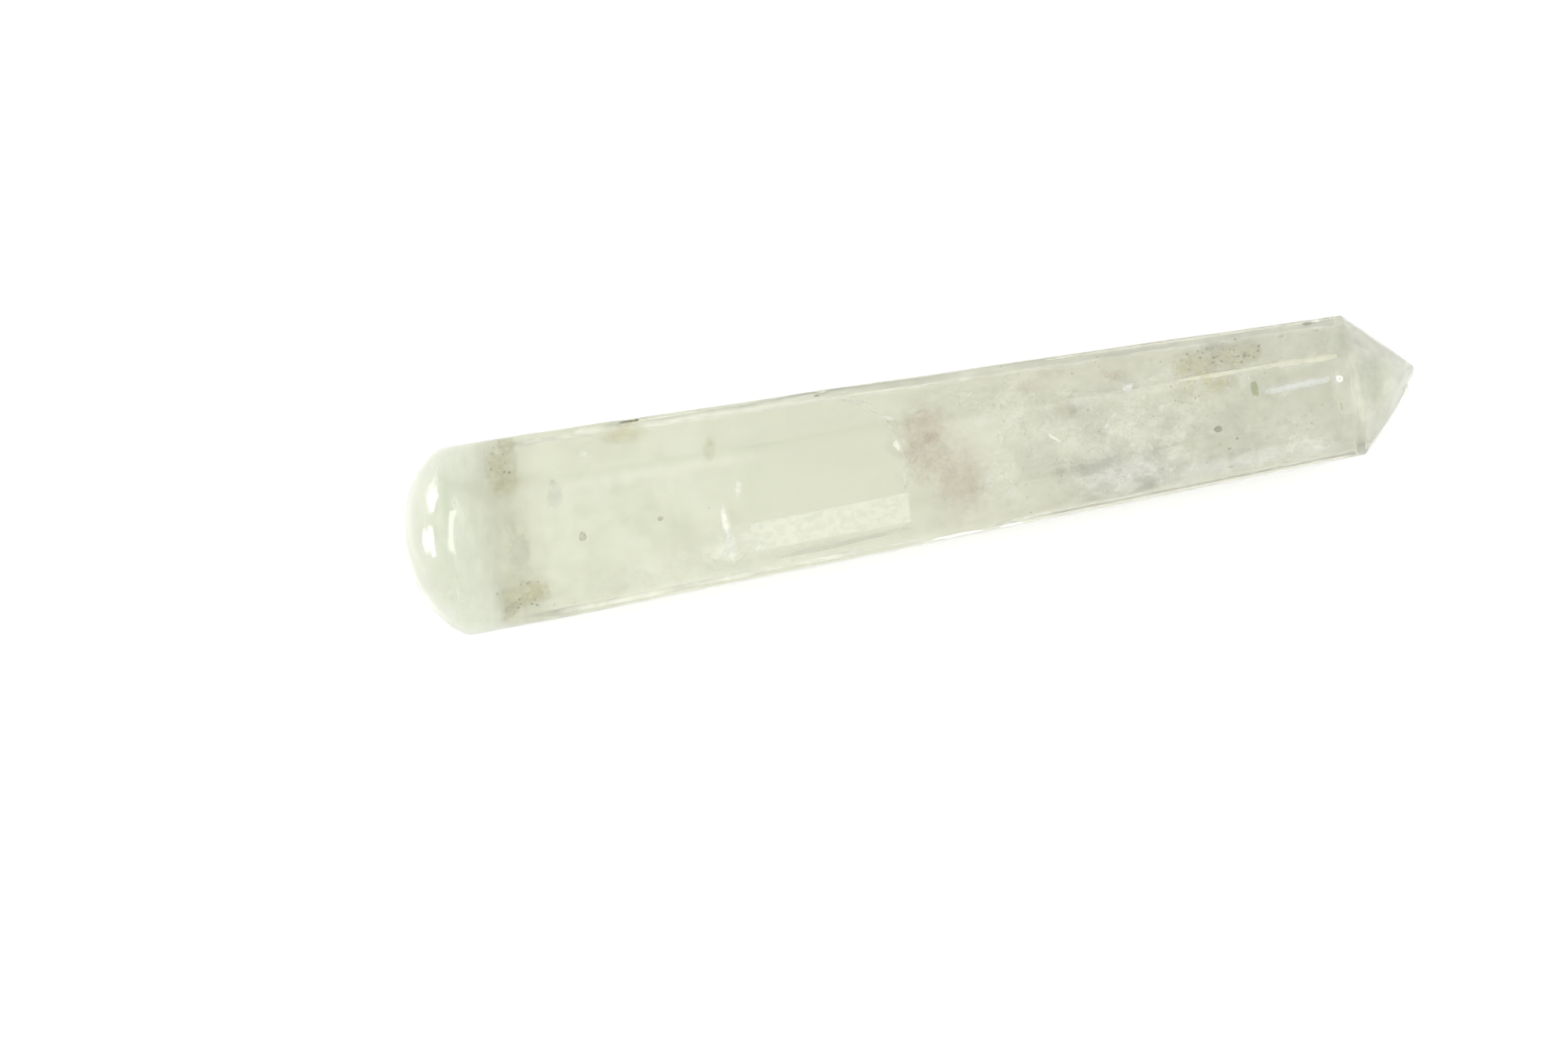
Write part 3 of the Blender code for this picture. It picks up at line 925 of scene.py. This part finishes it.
class WAND_OT_rust(bpy.types.Operator):
    """Make the reddish-brown patch past the middle and the traces beyond it"""

    bl_idname = "wand.rust"
    bl_label = "Rust patch"

    LEAVES = (
        (73.7, -0.8, 9, 5.2, -56, 1.4, 0.4, 3.4, 0.9), (71.8, 3.4, 3, 3.2, 10, 0.8, 0.52, 2.8),
        (72.2, 2.6, 0.9, 1, 0, 0.6, 0.55), (70.2, 0.4, 1.8, 3.6, 4, 1, 0.45, 2.4),
        (73.7, -1.4, 3, 2.6, -30, 0.8, 0.45, 2.6), (75.2, -4.5, 3.6, 2.6, -36, 1, 0.36, 2.6),
        (76.7, -2.6, 1.3, 2.9, 12, 0.6, 0.34, 2.2), (87.3, 6.8, 3, 1.2, -14, 0.8, 0.3, 2.2),
        (90.3, 8, 3.2, 0.9, -6, 0.8, 0.3, 2.2), (90.8, 3.4, 1.8, 1.2, 0, 0.8, 0.26),
        (98.8, 6.4, 2.2, 1, -20, 0.6, 0.45),
    )

    def execute(self, context):
        leaves("rust_patch", self.LEAVES, "rust")
        return {"FINISHED"}


class WAND_OT_clouds(bpy.types.Operator):
    """Make the milky and grey clouds of the half towards the point"""

    bl_idname = "wand.clouds"
    bl_label = "Clouds"

    WHITE = (
        (90, 1, 15, 8, -24, 1, 0.7, 2.4, 0.85), (101, -1.5, 15, 7, 12, 1, 0.8, 2.2, 0.6),
        (80.5, -4.5, 5.5, 3.2, 60, 0.8, 0.55, 2.2, 0.95), (99, -6.8, 12, 2.8, 2, 0.7, 1, 2.6, 0.95),
        (79, 6, 8, 3, -20, 0.8, 0.5, 2.2, 0.9), (40, -8.8, 22, 3, 1, 0.7, 0.4, 2.6, 0.95),
        (120, -7, 11, 2.4, 2, 0.8, 0.8, 2.4, 0.95),
    )
    GREY = (
        (92.4, -4.2, 5, 1.6, -4, 0.8, 0.6, 2.4), (89, 3, 4, 3, -20, 0.8, 0.5, 2.2),
        (94, 1.4, 2.2, 3.2, 10, 0.8, 0.5, 2.2), (109, -1.6, 6, 2.2, -4, 0.9, 0.4, 2.4),
        (113, 8.2, 2.6, 0.8, -6, 0.5, 0.9), (110, 1, 18, 8, 4, 1, 0.3, 2.6, 0.1),
        (130, 4, 6, 3.4, -40, 0.8, 0.4, 2.2, 0.95),
    )
    SMOOTH = (
        (86.1, -2.4, 3.2, 2.8, 4, 0.8, 0.22, 4), (59, -9.2, 9.6, 0.3, 3.2, 0.5, 0.5, 4),
        (21.4, 3.3, 1.2, 2, -16, 0.9, 0.36), (15.5, -3.2, 1.4, 2.4, -12, 0.7, 0.36, 2.4),
    )
    HAZE = (
        (133.2, 0.4, 5.8, 8, 0, 1, 0.5, 4, 0.35), (122.5, 0.6, 10, 7.6, 0, 1, 0.3, 4, 0.05),
        (134.5, 0.2, 4.7, 8.2, 0, 0.6, 0.9, 4, 0.9),
    )

    def execute(self, context):
        leaves("white_clouds", self.WHITE, "milky_cloud", size=61, soft=1.0)
        leaves("grey_clouds", self.GREY, "grey_cloud", size=51)
        leaves("smooth_haze", self.SMOOTH, "grey_haze", soft=0.45)
        leaves("point_haze", self.HAZE, "point_haze", soft=0.6)
        return {"FINISHED"}


class WAND_OT_cracks(bpy.types.Operator):
    """Make the silvery cracks, the mirror leaves that paint highlights on the rounded end and a glint,
    the bright band and sheen that paint the light on the lower flats, the curved front and the turned
    streaks
    """

    bl_idname = "wand.cracks"
    bl_label = "Cracks"

    # The first three rows paint the highlights on the rounded end, and the row at 128.4 mm paints a
    # glint; the other rows are silvery cracks.
    STREAKS = (
        (5.4, 6.6, 3.2, 0.9, 74, 0.5, 0.7), (3.5, 0.4, 2.3, 0.9, 88, 0.5, 0.7),
        (8.2, 4.4, 2, 0.6, 78, 0.5, 0.4), (43.3, -4, 2.7, 0.6, 92, 0.6, 0.75),
        (43.5, -7, 2.8, 1.2, 92, 0.6, 0.7), (42.5, -7.9, 3.4, 1.1, -8, 0.7, 0.6),
        (45.8, 0.2, 1.5, 0.6, 62, 0.6, 0.6), (47.6, -5.9, 1.4, 0.5, 75, 0.4, 0.6),
        (49.4, -5.6, 1, 0.5, 70, 0.4, 0.5), (47.4, -7.9, 1.4, 0.6, 20, 0.4, 0.5),
        (100.1, 4.6, 1.2, 0.8, 18, 0.6, 1.3, 1.3), (128.4, 0.9, 0.6, 0.6, 0, 0.3, 2.5),
        (67.8, 2.3, 0.7, 1.4, 10, 0.6, 0.5, 1.6), (67.3, 5.9, 1.5, 0.5, -14, 0.6, 0.45),
        (88.6, -0.2, 2.3, 0.3, -42, 0.6, 0.45), (97.2, 1.1, 1.7, 0.3, 38, 0.6, 0.45),
        (96.3, 0.1, 0.8, 0.5, 60, 0.6, 0.5), (26.2, 7.9, 1.2, 1.1, 0, 0.6, 0.4),
    )
    # Painted sheen: faint mirror leaves that brighten the lower sloping flats.
    PAINTED_SHEEN = (
        (114, -7.8, 15, 1.8, 2, 0.6, 0.38, 2.6), (97.5, -6.8, 9, 2.6, 2, 0.6, 0.22, 2.2),
        (43.6, -7.3, 5, 2.8, 0, 0.7, 0.44, 2.2), (81, -6.6, 3.6, 1.8, -20, 0.6, 0.34, 2.2),
    )
    FRONT = ((60.3, 10.2), (64.2, 8.2), (66.4, 6.1), (67.8, 3.6), (68.2, 0.5), (68, -2.1), (67.7, -4.1))

    def execute(self, context):
        leaves("silver_cracks_and_painted_highlights", self.STREAKS, "crack_and_highlight_mirror", soft=1.05)
        leaves("painted_sheen_mirror", self.PAINTED_SHEEN, "painted_sheen_mirror", size=61, soft=1.0)
        self.band()
        self.front()
        self.polish()
        return {"FINISHED"}

    def band(self):
        """A mirror crack along the lower sloping flat that also paints the bright band of light there.
        Thickness rises sharply at its far end and slowly at the near one, and its lower edge is a
        straight line just above the outline."""
        near, far = 0.0445, 0.0683
        along = np.linspace(near, far, 90)[:, None]
        share = np.linspace(0.0, 1.0, 24)[None, :]
        upper = np.interp(along, [near, far], [-0.0047, -0.0042])
        lower = np.interp(along, [near, far], [-0.0087, -0.0084])
        points = under(along + 0 * share, upper + (lower - upper) * share, 0.0005)
        thickness = 0.58 * ease(along, 0.0440, 0.0478) * ease(along, far, 0.0680)
        thickness = thickness * ease(share, 0.0, 0.08) * ease(share, 1.0, 0.85)
        sheet("painted_highlight_band", points, layer_finish("highlight_band_mirror"), thickness)

    def front(self):
        """The curved end of the clear middle: a curtain that hangs from a bent line under the
        surface down to the axis's plane. Thickness falls off towards its lower edge and its ends."""
        t = np.linspace(0.0, 1.0, 60)[:, None]
        down = np.linspace(0.0, 1.0, 16)[None, :]
        share = np.linspace(0, 1, len(self.FRONT))
        along, across = (MM * np.interp(t, share, line) for line in zip(*self.FRONT))
        points = under(along + 0.0016 * down, across + 0 * down, 0.0006, 1 - 0.75 * down)
        thickness = (1 - down) ** 1.5 * ease(t, 0.0, 0.1) * ease(t, 1.0, 0.9)
        sheet("clear_front", points, layer_finish("pale_front"), thickness)

    def polish(self):
        """Fine turned streaks just under the rounded end: a shell at a constant depth. Thickness
        falls off towards the pole and the stained ring."""
        pole, ring = 0.0012, 0.0125
        along = np.linspace(pole, ring, 40)[:, None]
        points = skin(along, np.linspace(0, 2 * np.pi, 160, endpoint=False)[None, :], 0.0005)
        thickness = 0.30 * ease(along, pole, 0.0040) * ease(along, ring, 0.0095)
        thickness = thickness * (0.75 + 0.35 * ripple(points, 0.008, 61))
        sheet("polish_streaks", points, layer_finish("polish_haze"), thickness, wrap=True)


class WAND_OT_strands(bpy.types.Operator):
    """Make the light tube, the mirror dot that paints a glint at its end, and the lines that paint
    highlights along the upper ridge and the edges
    """

    bl_idname = "wand.strands"
    bl_label = "Strands"

    # Rows as strands() and grains() read them.
    PALE = ((((118, 0.8), (122.6, 1), (127.4, 1.1)), 0.42, 0.9),)
    # Painted highlight: a cream line along the upper ridge.
    RIDGE_HIGHLIGHT = (
        (((106.5, 4.28), (114, 4.22), (121.5, 4.15)), 0.26, 0.42),
        (((119, 4.17), (124, 4.07), (128.8, 3.96)), 0.4, 0.55),
    )
    # Painted highlights: pale lines along the outline and the point's edges.
    EDGE_HIGHLIGHTS = (
        (((68, -10.95), (100, -10.1), (130, -9.3)), 0.22, 0.3),
        (((90, 10.4), (110, 9.85), (130, 9.32)), 0.16, 0.24),
        (((131.2, -9), (135, -5.45), (138.3, -2.36)), 0.26, 0.34),
        (((131.2, 9.05), (135, 5.6), (138.8, 2)), 0.2, 0.3),
    )
    # Painted glint: a mirror dot at the end of the light tube.
    GLINT_DOT = ((128.3, 0.9, 0.42, 0.46, 0.8),)

    def execute(self, context):
        strands("light_tube", self.PALE, "pale_tube")
        strands("painted_ridge_highlight", self.RIDGE_HIGHLIGHT, "ridge_highlight_cream")
        strands("painted_edge_highlights", self.EDGE_HIGHLIGHTS, "edge_highlight_pale")
        grains("painted_glint_dot", self.GLINT_DOT, "painted_glint_dot")
        return {"FINISHED"}


class WAND_OT_specks(bpy.types.Operator):
    """Make the dark and green mineral grains"""

    bl_idname = "wand.specks"
    bl_label = "Specks"

    DARK = (
        (33.1, 11.8, 1.35, 0.3, 0.3), (58.6, 10.8, 0.4, 0.18, 0.4), (111, -3, 0.48, 0.46, 0.8),
        (113.4, -4.3, 0.18, 0.22, 1), (112.3, -5.5, 0.2, 0.18, 1), (126.2, 9.1, 0.65, 0.24, 0.4),
    )
    SOFT = (
        (24.1, -2.6, 0.56, 0.52, 2.4), (34.8, -2.1, 0.36, 0.3, 1.6), (72.2, 2.6, 0.3, 0.42, 1),
        (98.8, 6.2, 0.3, 0.26, 1), (131.8, 5.2, 0.34, 0.28, 1),
    )
    GREEN = (
        (117, 1.6, 0.44, 1.2, 2.6), (122.3, 7.7, 0.28, 0.2, 1), (127.2, 7.7, 0.28, 0.22, 1),
        (133.6, 1.8, 0.26, 0.9, 2), (128.2, -2.8, 0.18, 0.5, 2), (112.4, -7.9, 0.34, 0.24, 1),
    )

    def execute(self, context):
        grains("dark_grains", list(self.DARK) + self.fine(), "dark_grain")
        grains("soft_grains", self.SOFT, "soft_grain")
        grains("green_grains", self.GREEN, "green_grain")
        return {"FINISHED"}

    def fine(self):
        """Rows of fine grains at random: in the half towards the point, in the stained patch there,
        in the stained ring on both sides, and a few in the clear middle."""
        rng = np.random.default_rng(8)
        pick = rng.uniform
        rows = [(pick(82, 128), pick(-8.8, 8.8), pick(0.05, 0.16), pick(0.05, 0.15), pick(0.5, 4),
                 rng.choice([1.0, 0.4, -0.6])) for _ in range(90)]
        rows += [(rng.normal(113.5, 2.6), rng.normal(6.6, 1.4), pick(0.08, 0.24), pick(0.08, 0.22),
                  pick(0.4, 1.2)) for _ in range(34)]
        rows += [(rng.normal(15.2, 1.3), side * pick(7, 12.2), pick(0.07, 0.22), pick(0.07, 0.22),
                  pick(0.4, 1.2), rng.choice([1.0, 1.0, -1.0])) for side in (1, -1) for _ in range(26)]
        return rows + [(pick(18, 68), pick(-11, 11), pick(0.04, 0.1), pick(0.04, 0.1), pick(0.6, 5),
                        rng.choice([1.0, 0.3, -0.7])) for _ in range(50)]


# ---------------------------------------------------------------- stage


class WAND_OT_stage(bpy.types.Operator):
    """Set up the floor, the soft light and the camera"""

    bl_idname = "wand.stage"
    bl_label = "Stage"

    # The lamps' places, sizes in metres and powers in watts. They all face LIT.
    LAMPS = dict(
        window=((-0.42, 0.108, 0.67), (0.40, 0.25), 1.5),
        low_strip_a=((-0.655, 0.400, 0.075), (0.26, 0.13), 0.95),
        low_strip_b=((-0.745, 0.035, 0.065), (0.18, 0.11), 0.60),
    )
    LIT = (-0.06, 0.0, 0.012)

    def execute(self, context):
        self.floor(context)
        self.sky(context)
        for name, row in self.LAMPS.items():
            self.lamp(name, *row)
        self.camera(context)
        context.scene.view_settings.view_transform = "Standard"
        return {"FINISHED"}

    def floor(self, context):
        """A wide pale floor, a hair under the wand."""
        reach, below = 3.0, -0.0002
        corners = [(-reach, -reach, below), (reach, -reach, below),
                   (reach, reach, below), (-reach, reach, below)]
        mesh = bpy.data.meshes.new("floor")
        mesh.from_pydata(corners, [], [(0, 1, 2, 3)])
        n = Nodes("floor")
        n.set(Base_Color=context.scene.wand_stage.floor, Roughness=0.6, Specular_IOR_Level=0.2)
        mesh.materials.append(n.material)
        floor = bpy.data.objects.new("floor", mesh)
        context.scene.collection.objects.link(floor)

    def sky(self, context):
        """White light all round, brighter from above: its strength rises evenly with the cosine of
        the angle to the brightest direction."""
        world = bpy.data.worlds.new("studio")
        world.use_nodes = True
        links, nodes = world.node_tree.links, world.node_tree.nodes
        sky = nodes["Background"]
        sky.inputs["Color"].default_value = (1.0, 1.0, 1.0, 1.0)
        facing = nodes.new("ShaderNodeVectorMath")
        facing.operation = "DOT_PRODUCT"
        links.new(nodes.new("ShaderNodeTexCoord").outputs["Generated"], facing.inputs[0])
        brightest = Vector((-0.15, -0.50, 0.85))
        facing.inputs[1].default_value = brightest.normalized()
        ramp = nodes.new("ShaderNodeMapRange")
        level = context.scene.wand_stage.sky
        for key, value in (("From Min", -0.6), ("From Max", 1.0), ("To Min", 0.66 * level),
                           ("To Max", 1.36 * level)):
            ramp.inputs[key].default_value = value
        links.new(facing.outputs["Value"], ramp.inputs["Value"])
        links.new(ramp.outputs["Result"], sky.inputs["Strength"])
        context.scene.world = world

    def lamp(self, name, place, size, power):
        """A rectangular lamp that faces the wand and isn't seen itself."""
        lamp = bpy.data.lights.new(name, "AREA")
        lamp.shape = "RECTANGLE"
        lamp.size, lamp.size_y = size
        lamp.energy = power
        holder = bpy.data.objects.new(name, lamp)
        holder.location = place
        way = Vector(self.LIT) - Vector(place)
        holder.rotation_euler = way.to_track_quat("-Z", "Y").to_euler()
        holder.visible_camera = False
        bpy.context.scene.collection.objects.link(holder)

    def camera(self, context):
        """Straight above the wand, turned so that the wand rises to the right, and aimed below and
        left of its middle. The wand is seen a little from its -Y side."""
        stage = context.scene.wand_stage
        rise, lean = math.radians(9.94), math.radians(1.8)
        middle, left, below = Vector((0.0, 0.0, 0.0115)), 0.01764, 0.00794
        tilt = Matrix.Rotation(lean, 3, "X")
        right = tilt @ Vector((math.cos(rise), -math.sin(rise), 0.0))
        up = tilt @ Vector((math.sin(rise), math.cos(rise), 0.0))
        back = right.cross(up)
        data = bpy.data.cameras.new("camera")
        data.lens = stage.lens
        data.sensor_width = 36.0
        data.clip_start = 0.01
        camera = bpy.data.objects.new("camera", data)
        pose = Matrix((right, up, back)).transposed().to_4x4()
        pose.translation = middle - right * left - up * below + back * stage.camera_distance
        camera.matrix_world = pose
        context.scene.collection.objects.link(camera)
        context.scene.camera = camera


# ---------------------------------------------------------------- add-on


class WAND_PT_panel(bpy.types.Panel):
    """Quartz wand settings and pieces"""

    bl_label = "Quartz Wand"
    bl_idname = "WAND_PT_panel"
    bl_space_type = "VIEW_3D"
    bl_region_type = "UI"
    bl_category = "Quartz Wand"

    def draw(self, context):
        """Lists every setting, then every operator."""
        for group in (context.scene.wand_shape, context.scene.wand_look, context.scene.wand_stage):
            box = self.layout.box()
            for key in group.__annotations__:
                box.prop(group, key)
        for operator in OPERATORS:
            self.layout.operator(operator.bl_idname)


OPERATORS = (WAND_OT_crystal, WAND_OT_stains, WAND_OT_rust, WAND_OT_clouds, WAND_OT_cracks,
             WAND_OT_strands, WAND_OT_specks, WAND_OT_stage)
CLASSES = (WandShape, WandLook, StageLook, *OPERATORS, WAND_PT_panel)


def register():
    """Registers the classes and puts the settings on the scene."""
    for cls in CLASSES:
        bpy.utils.register_class(cls)
    bpy.types.Scene.wand_shape = PointerProperty(type=WandShape)
    bpy.types.Scene.wand_look = PointerProperty(type=WandLook)
    bpy.types.Scene.wand_stage = PointerProperty(type=StageLook)


def unregister():
    """Takes back what register did."""
    del bpy.types.Scene.wand_shape, bpy.types.Scene.wand_look, bpy.types.Scene.wand_stage
    for cls in reversed(CLASSES):
        bpy.utils.unregister_class(cls)


def main():
    """Makes the pieces and the stage in order."""
    register()
    for operator in OPERATORS:
        group, name = operator.bl_idname.split(".")
        getattr(getattr(bpy.ops, group), name)()


if __name__ == "__main__":
    main()
